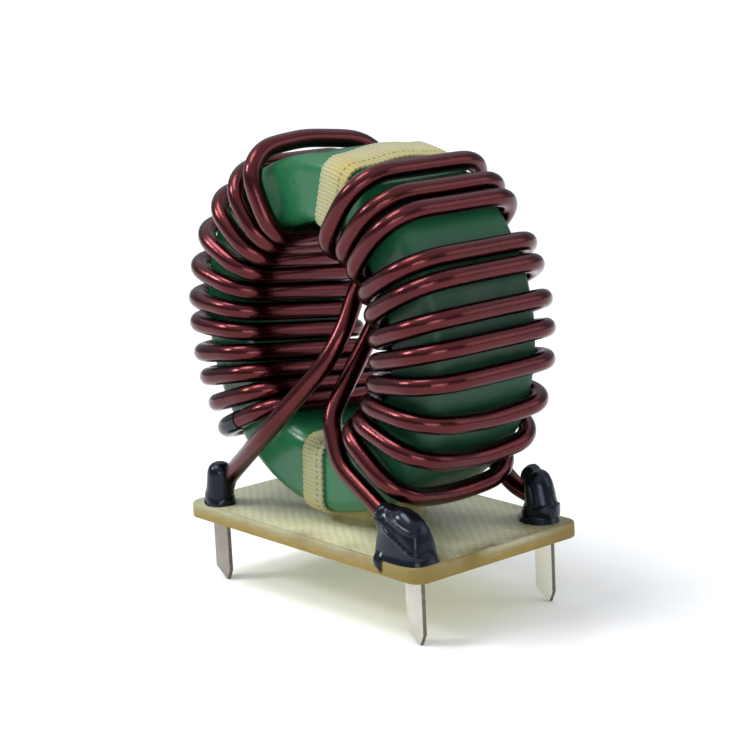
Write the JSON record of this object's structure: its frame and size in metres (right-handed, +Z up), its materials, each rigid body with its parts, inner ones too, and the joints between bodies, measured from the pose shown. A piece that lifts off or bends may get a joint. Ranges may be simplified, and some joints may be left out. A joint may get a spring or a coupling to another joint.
{
  "type": "toroidal common-mode choke",
  "caption": "Toroidal common-mode choke: enamelled copper windings on a coated ferrite ring that stands upright on a small base board with flat solder pins.",
  "frame": {"origin": "centre of the base board's underside, in the middle of the pin pattern", "axes": "+Z up from the board, X along the board's long side, the ring's axis along Y with its front face towards -Y"},
  "size_m": [0.0412, 0.0224, 0.0481],
  "materials": {
    "core_coating": "glossy green epoxy coat over ferrite",
    "wire_enamel": "glossy dark red enamel over copper",
    "cloth_tape": "woven cream cloth",
    "amber_glue": "set amber glue",
    "glass_epoxy": "bare glass-epoxy laminate",
    "tinned_pin": "tinned, stamped",
    "solder": "set solder",
    "shrink_sleeve": "shrunk black sleeve"
  },
  "bodies": {
    "root": {"toroid_core": "core_coating", "winding_left": "wire_enamel", "winding_right": "wire_enamel", "tape_top": "cloth_tape", "tape_bottom": "cloth_tape", "core_glue": "amber_glue", "base_board": "glass_epoxy", "pin_front_left": "tinned_pin", "pin_front_right": "tinned_pin", "pin_back_right": "tinned_pin", "pin_back_left": "tinned_pin", "solder_front_left": "solder", "solder_front_right": "solder", "solder_back_right": "solder", "solder_back_left": "solder", "boot_front_left": "shrink_sleeve", "boot_front_right": "shrink_sleeve", "boot_back_right": "shrink_sleeve", "boot_back_left": "shrink_sleeve"}
  },
  "joints": []
}
